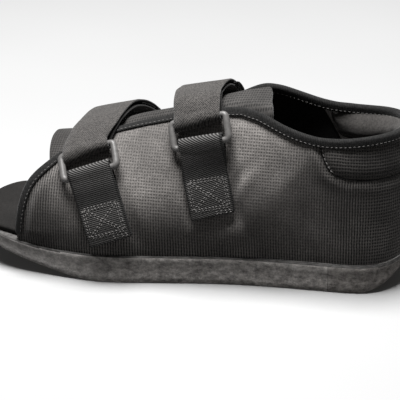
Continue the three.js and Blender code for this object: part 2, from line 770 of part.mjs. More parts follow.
const pieces = [
  { name: "sole", geometry: soleSlab, colour: "#3b3a39", roughness: 0.85 },
  { name: "insole", geometry: insoleSlab, colour: "#34312f", roughness: 0.95 },
  { name: "upper", geometry: upperGeometry(), colour: "#3a3939", roughness: 0.9 },
  { name: "edge_binding", geometry: bindingGeometry(), colour: "#2c2b2a", roughness: 0.85 },
  { name: "collar_pad", geometry: padGeometry(), colour: "#454443", roughness: 0.95 },
  { name: "tongue", geometry: tongueGeometry(), colour: "#4b4a48", roughness: 0.9 },
  { name: "strap_front", geometry: frontStrap, colour: "#5d5b57", roughness: 0.95 },
  { name: "strap_rear", geometry: rearStrap, colour: "#5d5b57", roughness: 0.95 },
  { name: "hook_tab_front", geometry: tabGeometry(FRONT_STRAP, 0), colour: "#151515", roughness: 0.8 },
  { name: "hook_tab_rear", geometry: tabGeometry(REAR_STRAP, 3), colour: "#151515", roughness: 0.8 },
  { name: "ring_front", geometry: ringGeometry(frontRing), colour: "#8a8886", roughness: 0.45 },
  { name: "ring_rear", geometry: ringGeometry(rearRing), colour: "#8a8886", roughness: 0.45 },
  { name: "webbing_front", geometry: frontWebbing, colour: "#2f2e2d", roughness: 0.8 },
  { name: "webbing_rear", geometry: rearWebbing, colour: "#2f2e2d", roughness: 0.8 },
];

const shoe = new THREE.Group();
shoe.name = "postoperative_shoe";
for (const piece of pieces) {
  const material = new THREE.MeshStandardMaterial({
    color: piece.colour,
    roughness: piece.roughness,
    metalness: 0,
  });
  const mesh = new THREE.Mesh(piece.geometry, material);
  mesh.name = piece.name;
  shoe.add(mesh);
}

export default shoe;
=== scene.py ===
import math
from collections import namedtuple

import bmesh
import bpy
from mathutils import Matrix, Vector, noise
from mathutils.bvhtree import BVHTree
from mathutils.kdtree import KDTree


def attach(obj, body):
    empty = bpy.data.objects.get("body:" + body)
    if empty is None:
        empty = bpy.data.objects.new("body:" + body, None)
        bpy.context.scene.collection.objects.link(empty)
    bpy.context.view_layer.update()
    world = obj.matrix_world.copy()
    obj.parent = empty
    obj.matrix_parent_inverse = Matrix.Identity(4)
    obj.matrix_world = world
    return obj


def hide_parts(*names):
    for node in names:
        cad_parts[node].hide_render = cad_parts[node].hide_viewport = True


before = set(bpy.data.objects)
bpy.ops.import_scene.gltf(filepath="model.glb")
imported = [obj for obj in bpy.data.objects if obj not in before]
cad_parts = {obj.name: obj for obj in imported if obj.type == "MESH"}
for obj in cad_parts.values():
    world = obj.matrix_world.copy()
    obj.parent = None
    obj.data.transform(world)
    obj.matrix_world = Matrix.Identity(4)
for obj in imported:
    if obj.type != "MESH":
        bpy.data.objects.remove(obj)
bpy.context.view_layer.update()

# Sole: one block of foam with a turned-up toe and a rounded heel, moulded in two halves.
# Its sides are cloudy and scuffed, and a faint parting line crosses the side near the heel.
MM = 0.001
WELD_REACH = 0.004 * MM
PARTING_X = 92.5
PARTING_HALF = 0.35
PAINTED_LIGHT_TOE = (-38.9, -150)
RIM_SLOPE = 0.2


class Finish:
    """A surface finish: a shader and the pattern nodes that feed it."""

    def __init__(self, name, roughness, sheen=0.0, gloss=0.15):
        self.material = bpy.data.materials.new(name)
        self.material.use_nodes = True
        self.tree = self.material.node_tree
        self.shader = self.tree.nodes["Principled BSDF"]
        self.shader.inputs["Roughness"].default_value = roughness
        self.shader.inputs["Sheen Weight"].default_value = sheen
        self.shader.inputs["Sheen Roughness"].default_value = 0.5
        self.shader.inputs["Specular IOR Level"].default_value = gloss

    def node(self, kind, **values):
        made = self.tree.nodes.new(kind)
        for key, value in values.items():
            if hasattr(made, key):
                setattr(made, key, value)
            else:
                made.inputs[key.replace("_", " ").title()].default_value = value
        return made

    def join(self, source, target):
        self.tree.links.new(source, target)

    def math(self, operation, first, second=0.0, third=0.0):
        made = self.tree.nodes.new("ShaderNodeMath")
        made.operation = operation
        for socket, value in zip(made.inputs, (first, second, third)):
            if isinstance(value, (int, float)):
                socket.default_value = value
            else:
                self.join(value, socket)
        return made.outputs[0]

    def fade(self, value, start, end, top=1):
        """A factor that grows from nothing at one place to full at another, in millimetres, up to a top."""
        gain = 1 / ((end - start) * MM)
        line = self.math("MULTIPLY_ADD", value, gain, -start * MM * gain)
        return self.math("MINIMUM", self.math("MAXIMUM", line, 0), top)

    def place(self, stretch=(1, 1, 1)):
        where = self.node("ShaderNodeTexCoord")
        mapping = self.node("ShaderNodeMapping")
        mapping.inputs["Scale"].default_value = stretch
        self.join(where.outputs["Object"], mapping.inputs["Vector"])
        return mapping.outputs["Vector"]

    def lay(self):
        """The cloth's own map, as a vector and as its two directions."""
        where = self.node("ShaderNodeUVMap", uv_map="lay").outputs["UV"]
        axes = self.node("ShaderNodeSeparateXYZ")
        self.join(where, axes.inputs[0])
        return where, axes.outputs["X"], axes.outputs["Y"]

    def cloud(self, where, scale, detail=4.0, rough=0.6):
        made = self.node("ShaderNodeTexNoise", scale=scale, detail=detail, roughness=rough)
        self.join(where, made.inputs["Vector"])
        return made.outputs["Fac"]

    def ramp(self, factor, *stops):
        made = self.node("ShaderNodeValToRGB")
        band = made.color_ramp
        while len(band.elements) < len(stops):
            band.elements.new(0.5)
        for element, (at, colour) in zip(band.elements, stops):
            element.position = at
            element.color = (*colour, 1)
        self.join(factor, made.inputs["Fac"])
        return made.outputs["Color"]

    def blend(self, mode, factor, first, second):
        made = self.node("ShaderNodeMix", data_type="RGBA", blend_type=mode)
        for socket, value in ((made.inputs[0], factor), (made.inputs[6], first), (made.inputs[7], second)):
            if isinstance(value, (int, float)):
                socket.default_value = value
            elif isinstance(value, tuple):
                socket.default_value = (*value, 1)
            else:
                self.join(value, socket)
        return made.outputs[2]

    def colour(self, source):
        self.join(source, self.shader.inputs["Base Color"])

    def relief(self, height, depth, strength=1.0):
        made = self.node("ShaderNodeBump", strength=strength, distance=depth)
        self.join(height, made.inputs["Height"])
        self.join(made.outputs["Normal"], self.shader.inputs["Normal"])


def grey(level):
    """A neutral colour, a little warm as worn black goods are."""
    return (level * 1.04, level, level * 0.97)


def welded(node):
    """A solid's own mesh with its loose triangles joined into four-sided faces."""
    bm = bmesh.new()
    bm.from_mesh(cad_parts[node].data)
    bmesh.ops.remove_doubles(bm, verts=bm.verts, dist=WELD_REACH)
    bmesh.ops.join_triangles(
        bm, faces=bm.faces, angle_face_threshold=math.radians(60), angle_shape_threshold=math.radians(70)
    )
    return bm


def blank_object(bm):
    """A working object that carries a mesh while a modifier shapes it."""
    mesh = bpy.data.meshes.new("blank")
    bm.to_mesh(mesh)
    bm.free()
    blank = bpy.data.objects.new("blank", mesh)
    bpy.context.scene.collection.objects.link(blank)
    return blank


def shaped(blank):
    """The mesh that a working object's modifiers give it."""
    made = bmesh.new()
    made.from_object(blank, bpy.context.evaluated_depsgraph_get())
    mesh = blank.data
    bpy.data.objects.remove(blank)
    bpy.data.meshes.remove(mesh)
    return made


def smoothed(bm, levels):
    """The same shape after rounds of smooth subdivision."""
    blank = blank_object(bm)
    modifier = blank.modifiers.new("smooth", "SUBSURF")
    modifier.levels = levels
    modifier.render_levels = levels
    return shaped(blank)


def crease(bm, degrees, sharpness):
    """Edges that turn more than an angle keep their crispness when the shape is smoothed."""
    layer = bm.edges.layers.float.new("crease_edge")
    for edge in bm.edges:
        if len(edge.link_faces) == 2 and edge.calc_face_angle() > math.radians(degrees):
            edge[layer] = sharpness


def made_up(bm, name, slot, *finishes):
    """A finished piece that rides on the shoe."""
    mesh = bpy.data.meshes.new(name)
    bm.to_mesh(mesh)
    bm.free()
    mesh.shade_smooth()
    for finish in finishes:
        mesh.materials.append(finish.material)
    piece = bpy.data.objects.new(name, mesh)
    bpy.context.scene.collection.objects.link(piece)
    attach(piece, "root")
    return piece


foam = Finish("moulded_foam", 0.7)
clouds = foam.cloud(foam.place((0.65, 1, 1.1)), 260, 9, 0.76)
cells = foam.cloud(foam.place(), 650, 4, 0.7)
smears = foam.cloud(foam.place((0.3, 1, 1.5)), 210, 4, 0.75)
body = foam.ramp(clouds, (0.36, grey(0.19)), (0.5, grey(0.42)), (0.64, grey(0.7)))
body = foam.blend("OVERLAY", 0.55, body, foam.ramp(cells, (0.3, grey(0.2)), (0.7, grey(0.8))))
body = foam.blend("SCREEN", 0.5, body, foam.ramp(smears, (0.58, grey(0.0)), (0.78, grey(0.3))))
axes = foam.node("ShaderNodeSeparateXYZ")
foam.join(foam.place(), axes.inputs[0])
heel = foam.fade(axes.outputs["X"], PARTING_X, PARTING_X + 1.1)
# Towards the toe the side is lightened: painted light on the turned-up toe end.
toe = foam.fade(axes.outputs["X"], *PAINTED_LIGHT_TOE)
body = foam.blend("SCREEN", foam.math("MULTIPLY", toe, 0.8), body, grey(0.4))
body = foam.blend("MULTIPLY", heel, body, (0.78, 0.77, 0.76))
parting = foam.math("ABSOLUTE", foam.math("SUBTRACT", axes.outputs["X"], PARTING_X * MM))
body = foam.blend("MULTIPLY", foam.math("LESS_THAN", parting, PARTING_HALF * MM), body, (0.55, 0.55, 0.55))
foam.colour(body)
foam.relief(foam.math("MULTIPLY_ADD", clouds, 0.6, cells), 0.35 * MM, 0.6)
# The sole's top rim takes a much darker finish than its sides: painted shade, so that the rim stays dark
# under the lamp.
rim_painted_shade = Finish("foam_rim", 0.75)
rim_mottle = rim_painted_shade.cloud(rim_painted_shade.place(), 300, 5, 0.7)
rim_painted_shade.colour(rim_painted_shade.ramp(rim_mottle, (0.35, grey(0.04)), (0.7, grey(0.13))))
rim_painted_shade.relief(rim_mottle, 0.3 * MM, 0.6)
shape = welded("sole")
crease(shape, 40, 0.7)
shape = smoothed(shape, 2)
# Faces that look upwards take that darker finish: painted shade on the rim.
for face in shape.faces:
    face.material_index = 1 if face.normal.z > RIM_SLOPE else 0
sole = made_up(shape, "sole_block", "sole_foam", foam, rim_painted_shade)
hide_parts("sole")

# Insole: a foam footbed with a napped top, laid on the sole inside the upper.
# It runs out to the sole's rim at the open toe and is darkened unevenly by wear.
footbed = Finish("napped_footbed", 0.9, 0.03, 0.1)
nap = footbed.cloud(footbed.place(), 900, 4, 0.65)
cover = footbed.ramp(nap, (0.3, grey(0.008)), (0.75, grey(0.02)))
wear_and_painted_light = footbed.cloud(footbed.place(), 45, 3, 0.5)
footbed.colour(footbed.blend("MULTIPLY", 0.6, cover, footbed.ramp(wear_and_painted_light, (0.3, grey(0.55)), (0.7, grey(1.0)))))
footbed.relief(nap, 0.2 * MM, 0.6)
shape = welded("insole")
crease(shape, 40, 0.6)
insole = made_up(smoothed(shape, 2), "insole_footbed", "insole_foam", footbed)
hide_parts("insole")

# Upper: an open knit over thin foam, lined in plain black cloth and in grey felt round the heel.
# It is lasted to the sole all round, bends over at a soft ridge along the side, puffs out below its
# bound edge, lies flat under the webbing and is drawn in along the sewn outline of the collar.
HEEL_X = 105.5
HEEL_R = 35.5
SPINE_Z = 42
LASTED_Z = 26
EDGE_COVER = 6
CLEAR_OF_SHOE = 0.2
SEAM_STEPS = 8
MAP_LEAN = 0.45
MAP_REACH = 0.05
LINING_X = 131.7
LINING_SLANT = 0.53
EDGE_NEAR = [
    (-114.4, 33), (-113.4, 43), (-111.8, 52.5), (-109, 61), (-104.5, 67.4), (-98, 73.2), (-88, 80.2),
    (-70, 87.8), (-46, 94.8), (-20, 102.9), (5, 110.8), (26, 116.5), (38, 117.8), (48, 115.8), (58, 111.6),
    (70, 107.8), (80, 105.7), (90, 104.8), (100, 105.4), (112, 107), (125, 108.4), (136, 108.9), (141, 109),
]
EDGE_FAR = [
    (-114.4, 33), (-113.2, 42), (-111.6, 50), (-109, 57), (-104.5, 62), (-98, 66.5), (-88, 71), (-70, 78),
    (-46, 85.4), (-20, 93.9), (5, 102.4), (26, 112), (38, 118.2), (48, 117.4), (58, 113.6), (70, 109),
    (80, 106.2), (90, 104.9), (100, 104.6), (112, 104.9), (125, 106.2), (136, 108.2), (141, 109),
]
COLLAR_SEAM = [
    (84.5, 101.5), (86, 97), (89, 90), (91.5, 85.8), (96, 82.6), (106, 80.6), (118, 80.4), (130, 80.8),
    (138, 81.1), (140.9, 81.2),
]
RIDGE = [(-112, 44), (-90, 46), (-60, 47), (-20, 49), (20, 49), (36, 49), (56, 65), (74, 84), (92, 96)]
BULGE = [(-112, 0), (-80, 0.4), (-60, 1.2), (-20, 2.4), (24, 3), (38, 5.4), (60, 3.6), (78, 0.8), (92, 0)]
BULGE_ROUND = 1.4
FAR_BULGE = 0.6
PUFF = [(-110, 2), (-88, 2), (-60, 0.8), (90, 0.4)]
PUFF_START = 0.6
PUFF_RISE = 4
PUFF_END = 5
PUFF_FALL = 24
FAR_PUFF = 0.4
GROOVE_DEPTH = 1.5
GROOVE_WIDTH = 1.9
COLLAR_CORNER = (87, 81)
Swell = namedtuple("Swell", "height reach width")
COLLAR_SWELL = Swell(0.7, 8, 6)
BELOW_SWELL = Swell(0.5, 5, 3)
WAVES = ((0.3, 40), (0.14, 110))
WEBBINGS = (
    ("front", Vector((-48.4, 0, 32.5)), Vector((-56, 0, 56))),
    ("rear", Vector((17.4, 0, 51.5)), Vector((11.5, 0, 80))),
)
WEBBING_HALF = 14.5
HOLD_BELOW = 2
HOLD_ABOVE = 12
EASE_ASIDE = 7
EASE_BEYOND = 8
Pucker = namedtuple("Pucker", "x z length width turn depth")
PUCKERS = (Pucker(35, 68, 9, 2.4, 66, 1.1), Pucker(40, 76, 9, 2.4, 50, 0.9))
TUCK = 1.9 * MM
TUCK_Z = 25
Sewing = namedtuple("Sewing", "pitch length width")
COLLAR_SEWING = Sewing(2.2 * MM, 2.7 * MM, 0.9 * MM)
TACK_SEWING = Sewing(3 * MM, 2.3 * MM, 0.9 * MM)
TACK_RUN = 26


def held(value):
    """A value kept between nothing and one."""
    return min(max(value, 0.0), 1.0)


def out_from(x, side):
    """Middle of the shoe at a place along it, and the level direction from there to its side."""
    if x <= HEEL_X:
        return Vector((x * MM, 0, 0)), Vector((0, side, 0))
    turn = math.asin(min((x - HEEL_X) / HEEL_R, 1))
    return Vector((HEEL_X * MM, 0, 0)), Vector((math.sin(turn), side * math.cos(turn), 0))


def on_side(tree, x, z, side, inside=False):
    """Point and normal of a piece's outer or inner face, in millimetres along the shoe and up."""
    middle, out = out_from(x, side)
    start = middle + Vector((0, 0, z * MM))
    if inside:
        return tree.ray_cast(start, out)[:2]
    return tree.ray_cast(start + out * CLEAR_OF_SHOE, -out)[:2]


def spread(line, step):
    """Points at even steps along a line of points, each with its direction."""
    found = []
    carry = 0.0
    for start, end in zip(line, line[1:]):
        run = end - start
        at = carry
        while at < run.length:
            found.append((start + run * (at / run.length), run.normalized()))
            at += step
        carry = at - run.length
    return found


def drawn(tree, rows, side):
    """A line of points on a piece's outside, from places along the shoe and heights."""
    found = []
    for (x, z), (next_x, next_z) in zip(rows, rows[1:]):
        for step in range(SEAM_STEPS):
            share = step / SEAM_STEPS
            spot = on_side(tree, x + (next_x - x) * share, z + (next_z - z) * share, side)[0]
            if spot:
                found.append(spot)
    return found


def scattered(lines):
    """A search tree over points on some lines."""
    spots = [spot for line in lines for spot, along in spread(line, 1 * MM)]
    tree = KDTree(len(spots))
    for index, spot in enumerate(spots):
        tree.insert(spot, index)
    tree.balance()
    return tree


def between(value, table):
    """Height read from a table of places and heights."""
    for (x, z), (next_x, next_z) in zip(table, table[1:]):
        if value <= next_x:
            share = held((value - x) / (next_x - x))
            return z + (next_z - z) * share
    return table[-1][1]


def bump(value, width):
    """A smooth hump, full at nothing and gone about two widths away."""
    return math.exp(-((value / width) ** 2))


def spine_to(place):
    """Direction from the line down the middle of the foot to a place, both in millimetres."""
    return place - Vector((min(place.x, HEEL_X), 0, min(place.z, SPINE_Z)))


def mapped(bm, rule):
    """Lay the cloth's own map on a shape by a rule from place to map."""
    layer = bm.loops.layers.uv.new("lay")
    for face in bm.faces:
        for loop in face.loops:
            loop[layer].uv = rule(loop.vert.co)


def side_map(co):
    """Along the shoe's side and round the heel, and up it."""
    reach = abs(co.y)
    along = co.x
    if co.x > HEEL_X * MM:
        reach = math.hypot(co.x - HEEL_X * MM, co.y)
        along = HEEL_X * MM + HEEL_R * MM * math.atan2(co.x - HEEL_X * MM, abs(co.y))
    return along, co.z + MAP_LEAN * (MAP_REACH - reach)


def knit(name, thread, hole, pitch, row, depth, tension):
    """An open knit: pale threads round rows of small dark holes, laid on the piece's own map.

    Where the cloth is pulled, its rows close up and its columns stand out; where it is pulled
    along its rows, they stand out instead.
    """
    made = Finish(name, 0.8, 0.12)
    where, u, v = made.lay()
    sway = made.math("MULTIPLY_ADD", made.cloud(where, 150, 2, 0.5), 2.4, -1.2)
    columns = made.math("COSINE", made.math("MULTIPLY_ADD", u, 2 * math.pi / pitch, sway))
    rows = made.math("COSINE", made.math("MULTIPLY_ADD", v, 2 * math.pi / row, sway))
    columns = made.math("MULTIPLY_ADD", columns, 0.5, 0.5)
    rows = made.math("MULTIPLY_ADD", rows, 0.35, 0.65)
    pull, turn, shade = tension(made, u, v)
    keep = made.math("ADD", made.math("MULTIPLY_ADD", pull, -0.6, 1), turn)
    rows = made.math("SUBTRACT", 1, made.math("MULTIPLY", made.math("SUBTRACT", 1, rows), keep))
    keep = made.math("MULTIPLY_ADD", turn, -0.65, 1)
    columns = made.math("SUBTRACT", 1, made.math("MULTIPLY", made.math("SUBTRACT", 1, columns), keep))
    gap = made.math("MULTIPLY", columns, rows)
    low, high = grey(thread * 0.75), grey(thread * 1.25)
    tone = made.ramp(made.cloud(where, 55, 4, 0.6), (0.32, low), (0.68, high))
    flecks = made.ramp(made.cloud(where, 800, 3, 0.7), (0.3, grey(0.18)), (0.7, grey(0.82)))
    tone = made.blend("OVERLAY", 0.7, tone, flecks)
    # The thread is darkened wherever the rule gives shade: painted shade.
    tone = made.blend("MULTIPLY", 1.0, tone, made.math("MULTIPLY_ADD", shade, 0.58, 0.4))
    opening = made.ramp(gap, (0.22, grey(0.0)), (0.8, grey(1.0)))
    opening = made.math("MULTIPLY", opening, made.math("MULTIPLY_ADD", pull, 0.48, 0.5))
    made.colour(made.blend("MIX", opening, tone, grey(hole)))
    made.relief(made.math("SUBTRACT", 1, gap), depth, 0.8)
    return made


def tight_on_last(made, u, v):
    """The upper is pulled down near the sole and at the toe, and along its rows in the collar and round
    the heel; painted shade darkens it at the toe, high round the heel and high on the front flaps."""
    low = made.fade(v, 62.5, 26.8)
    toe = made.fade(u, -66.7, -100, 0.85)
    heel = made.fade(u, 59.1, 104.5)
    pull = made.math("MAXIMUM", made.math("MAXIMUM", low, toe), heel)
    round_heel = made.fade(u, 107.8, 139.1, 0.55)
    above_seam = made.fade(v, 86, 89.3, 0.6)
    in_collar = made.fade(u, 87, 92)
    turn = made.math("MAXIMUM", round_heel, made.math("MULTIPLY", above_seam, in_collar))
    # Painted shade: darker high round the heel, at the toe and high on the front flaps.
    back = made.math("MULTIPLY", made.fade(v, 53.3, 86.7), made.fade(u, 60.7, 96.4))
    front = made.math("MULTIPLY", made.fade(v, 65, 115, 0.85), made.fade(u, 20, -13.3))
    painted_shade = made.math("MAXIMUM", made.math("MAXIMUM", back, toe), front)
    return pull, turn, made.math("SUBTRACT", 1, painted_shade)


def laid_loose(made, u, v):
    """The tongue lies loose."""
    return 0.6, 0.45, 1.0


def fleece(name, low, high, grain, depth):
    """Plain napped cloth with a fine uneven surface."""
    made = Finish(name, 0.95, 0.12)
    nap = made.cloud(made.place(), grain, 6, 0.72)
    drift = made.ramp(made.cloud(made.place(), 70, 3, 0.5), (0.3, grey(0.75)), (0.7, grey(1.0)))
    tone = made.ramp(nap, (0.3, grey(low)), (0.72, grey(high)))
    made.colour(made.blend("MULTIPLY", 0.8, tone, drift))
    made.relief(nap, depth, 0.7)
    return made


mesh_cloth = knit("upper_knit", 0.21, 0.006, 1.76 * MM, 2.25 * MM, 0.25 * MM, tight_on_last)
lining = Finish("black_lining", 0.95, 0.05)
nap = lining.cloud(lining.place(), 700, 6, 0.72)
axes = lining.node("ShaderNodeSeparateXYZ")
lining.join(lining.place(), axes.inputs[0])
slant = lining.math("MULTIPLY_ADD", axes.outputs["Z"], LINING_SLANT, axes.outputs["X"])
behind = lining.fade(slant, LINING_X - 0.55, LINING_X + 0.55)
plain = lining.ramp(nap, (0.3, grey(0.003)), (0.72, grey(0.012)))
# The felt on the heel wall is made several times paler than the pad's felt of the same cloth: painted light
# on a wall the lamp hardly reaches.
felt = lining.ramp(nap, (0.3, grey(0.22)), (0.72, grey(0.48)))
lining.colour(lining.blend("MIX", behind, plain, felt))
lining.relief(nap, 0.3 * MM, 0.7)

shape = smoothed(welded("upper"), 2)
tree = BVHTree.FromBMesh(shape)
seams = [drawn(tree, COLLAR_SEAM, side) for side in (-1, 1)]
tape_tree = BVHTree.FromBMesh(welded("edge_binding"))
collar = scattered(seams)
shape.normal_update()
moves = []
for vert in shape.verts:
    place = vert.co / MM
    near = place.y < 0
    outward = 1 if vert.normal.dot(spine_to(place)) > 0 else -1
    free = 1.0
    if near:
        for name, foot, head in WEBBINGS:
            up = (head - foot).normalized()
            aside = abs((place - foot).dot(Vector((up.z, 0, -up.x)))) - WEBBING_HALF
            beyond = max(foot.z - HOLD_BELOW - place.z, place.z - head.z - HOLD_ABOVE)
            free = min(free, held(max(aside / EASE_ASIDE, beyond / EASE_BEYOND)))
    push = sum(depth * noise.noise(vert.co * rate) for depth, rate in WAVES)
    ridge = between(place.x, RIDGE)
    top = between(place.x, EDGE_NEAR if near else EDGE_FAR) - EDGE_COVER
    above = (place.z - ridge) / (top - ridge if place.z > ridge else ridge - LASTED_Z)
    swell = between(place.x, BULGE) * max(1 - abs(above) ** BULGE_ROUND, 0)
    push += swell * free * (1 if near else FAR_BULGE)
    rim = tape_tree.find_nearest(vert.co)[3] / MM
    roll = held((rim - PUFF_START) / PUFF_RISE) * max(1 - max(rim - PUFF_END, 0) / PUFF_FALL, 0)
    push += between(place.x, PUFF) * roll * free * (1 if near else FAR_PUFF)
    seam = collar.find(vert.co)[2] / MM
    push -= GROOVE_DEPTH * bump(seam, GROOVE_WIDTH)
    in_collar = place.x > COLLAR_CORNER[0] and place.z > COLLAR_CORNER[1]
    beside = COLLAR_SWELL if in_collar else BELOW_SWELL
    push += beside.height * bump(seam - beside.reach, beside.width)
    if near:
        for pucker in PUCKERS:
            turn = math.radians(pucker.turn)
            along = Vector((math.cos(turn), math.sin(turn)))
            spot = Vector((place.x - pucker.x, place.z - pucker.z))
            run, aside = spot.dot(along), spot.cross(along)
            fold = bump(aside, pucker.width) - 0.8 * bump(aside + 2 * pucker.width, pucker.width)
            push += pucker.depth * bump(run, pucker.length) * fold
    sunk = held((place.z - TUCK_Z + 1) / 6)
    tuck = held((TUCK_Z - place.z) / 4)
    moves.append(vert.normal * (outward * push * sunk * MM) - Vector((0, 0, TUCK * tuck)))
for vert, move in zip(shape.verts, moves):
    vert.co += move
for face in shape.faces:
    place = face.calc_center_median() / MM
    face.material_index = 1 if face.normal.dot(spine_to(place)) < 0 else 0
mapped(shape, side_map)
upper_tree = BVHTree.FromBMesh(shape)
upper = made_up(shape, "upper_shell", "upper_mesh", mesh_cloth, lining)
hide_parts("upper")


def stitch(bm, spot, along, normal, length, width):
    """One stitch: a short round thread half sunk in the cloth."""
    across = normal.cross(along).normalized()
    ahead = across.cross(normal).normalized()
    turn = Matrix((ahead, across, normal)).transposed().to_4x4()
    size = Matrix.Diagonal((length / 2, width / 2, width / 2, 1))
    bmesh.ops.create_uvsphere(
        bm, u_segments=6, v_segments=4, radius=1,
        matrix=Matrix.Translation(spot) @ turn @ size @ Matrix.Rotation(math.pi / 2, 4, "Y"),
    )


def spun(name, low, high):
    """Sewing thread, twisted from two plies."""
    made = Finish(name, 0.6)
    twist = made.cloud(made.place(), 2500, 2, 0.5)
    made.colour(made.ramp(twist, (0.3, grey(low)), (0.7, grey(high))))
    made.relief(twist, 0.1 * MM, 0.4)
    return made


pale_thread = spun("pale_thread", 0.14, 0.34)
dull_thread = spun("dull_thread", 0.06, 0.15)
black_thread = spun("black_thread", 0.004, 0.012)
shape = bmesh.new()
for line in seams:
    for spot, along in spread(line, COLLAR_SEWING.pitch):
        found, normal, index, reach = upper_tree.find_nearest(spot)
        stitch(shape, found, along, normal, COLLAR_SEWING.length, COLLAR_SEWING.width)
collar_seam = made_up(shape, "collar_seam_thread", "upper_mesh", black_thread)
shape = bmesh.new()
for line in seams:
    for spot, along in spread(line[:TACK_RUN], TACK_SEWING.pitch):
        found, normal, index, reach = upper_tree.find_nearest(spot + Vector((0.9 * MM, 0, 0)))
        stitch(shape, found + normal * 0.4 * MM, along, normal, TACK_SEWING.length, TACK_SEWING.width)
collar_tack = made_up(shape, "collar_tack_thread", "upper_mesh", pale_thread)

# Edge binding: a woven tape folded over the upper's cut edge, sewn through with grey thread.
# One line of lockstitch, seen on both faces, follows it from the toe opening round the heel.
LEG_WIDTH = 3.2 * MM
TO_CREST = Vector((-0.6, 0, 0.8))
TAPE_SLIM = 0.35
SLIM_FROM = 1 * MM
TAPE_SEWING = Sewing(2.9 * MM, 1.9 * MM, 0.62 * MM)


def leg_line(bm, outer):
    """Line down the middle of the tape's outer or inner leg, from face to face."""
    tree = BVHTree.FromBMesh(bm)
    leg = []
    for face in bm.faces:
        spot = face.calc_center_median()
        wide = face.calc_area() / max(edge.calc_length() for edge in face.edges)
        covered = tree.ray_cast(spot + face.normal * 0.05 * MM, face.normal, 5 * MM)[0]
        if wide > LEG_WIDTH and not covered and (face.normal.dot(spine_to(spot / MM)) > 0) == outer:
            leg.append(face)
    left = [face.calc_center_median() for face in leg]
    line = [min(left, key=lambda spot: spot.z + 0.5 * spot.y)]
    left.remove(line[0])
    while left:
        line.append(min(left, key=lambda spot: (spot - line[-1]).length))
        left.remove(line[-1])
    return line


tape = Finish("woven_tape", 0.8, 0.1)
along_tape = tape.lay()[1]
ribs = tape.math("SINE", tape.math("MULTIPLY", along_tape, 2 * math.pi / (1.1 * MM)))
ribs = tape.math("MULTIPLY_ADD", ribs, 0.25, 0.5)
fuzz = tape.cloud(tape.place(), 620, 5, 0.75)
yarn = tape.math("MULTIPLY_ADD", fuzz, 0.9, tape.math("MULTIPLY", ribs, 0.4))
tape.colour(tape.ramp(yarn, (0.52, grey(0.001)), (0.86, grey(0.019))))
tape.relief(yarn, 0.6 * MM, 0.9)
shape = welded("edge_binding")
legs = [leg_line(shape, outer) for outer in (True, False)]
shape = smoothed(shape, 2)
runs = spread(legs[0], 1 * MM)
outer_leg, inner_leg = scattered(legs[:1]), scattered(legs[1:])
for vert in shape.verts:
    spot, index, reach = outer_leg.find(vert.co)
    rise = (spot - inner_leg.find(vert.co)[0]).cross(runs[index][1]).normalized()
    if rise.dot(TO_CREST) < 0:
        rise.negate()
    vert.co += rise * (TAPE_SLIM * max(SLIM_FROM - (vert.co - spot).dot(rise), 0))
mapped(shape, side_map)
tree = BVHTree.FromBMesh(shape)
binding = made_up(shape, "folded_tape", "binding_tape", tape)
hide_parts("edge_binding")
shape = bmesh.new()
for leg in legs:
    for spot, along in spread(leg, TAPE_SEWING.pitch):
        found, normal, index, reach = tree.find_nearest(spot)
        wander = noise.noise(spot * 900)
        lean = normal.cross(along) * 0.25 * wander
        length = TAPE_SEWING.length + 0.4 * MM * wander
        stitch(shape, found, along + lean, normal, length, TAPE_SEWING.width)
binding_stitches = made_up(shape, "binding_stitching", "binding_tape", dull_thread)

# Collar pad: a band of soft foam under felt, sewn inside the heel along its edges.
# The foam fills the felt so that it swells towards the ankle and stays flat on the upper.
PAD_SHRINK = 0.5 * MM
PAD_PRESSURE = 60
PAD_SWELL = 1.6 * MM
PAD_SLACK = 0.3 * MM
PAD_TOP = 7
PAD_FOOT = 4.5
PAD_SPREAD = 4.5 * MM
PAD_FORWARD = 4 * MM
PAD_FRONT = 90
PAD_EASE = 22
FILL_STEPS = 20


def swollen(bm, pressure, limit):
    """A closed shape blown up as filled cloth, its points held to a distance set by the limit."""
    blank = blank_object(bm)
    rest = [vert.co.copy() for vert in blank.data.vertices]
    cloth = blank.modifiers.new("fill", "CLOTH")
    cloth.settings.use_pressure = True
    cloth.settings.uniform_pressure_force = pressure
    cloth.settings.effector_weights.gravity = 0
    cloth.collision_settings.use_collision = False
    for step in range(1, FILL_STEPS + 1):
        bpy.context.scene.frame_set(step)
    made = shaped(blank)
    bpy.context.scene.frame_set(1)
    made.normal_update()
    for vert, start in zip(made.verts, rest):
        move = vert.co - start
        most = limit(vert)
        if move.length > most:
            vert.co = start + move * (most / move.length)
    return made


def evened(bm, times):
    """The same shape with its small lumps rubbed out."""
    for again in range(times):
        bmesh.ops.smooth_vert(
            bm, verts=bm.verts, factor=0.5, use_axis_x=True, use_axis_y=True, use_axis_z=True
        )


def pad_limit(vert):
    """Room for the pad to swell: much towards the ankle, little towards the upper."""
    inward = -vert.normal.dot(spine_to(vert.co / MM).normalized())
    return PAD_SLACK + PAD_SWELL * max(inward, 0)


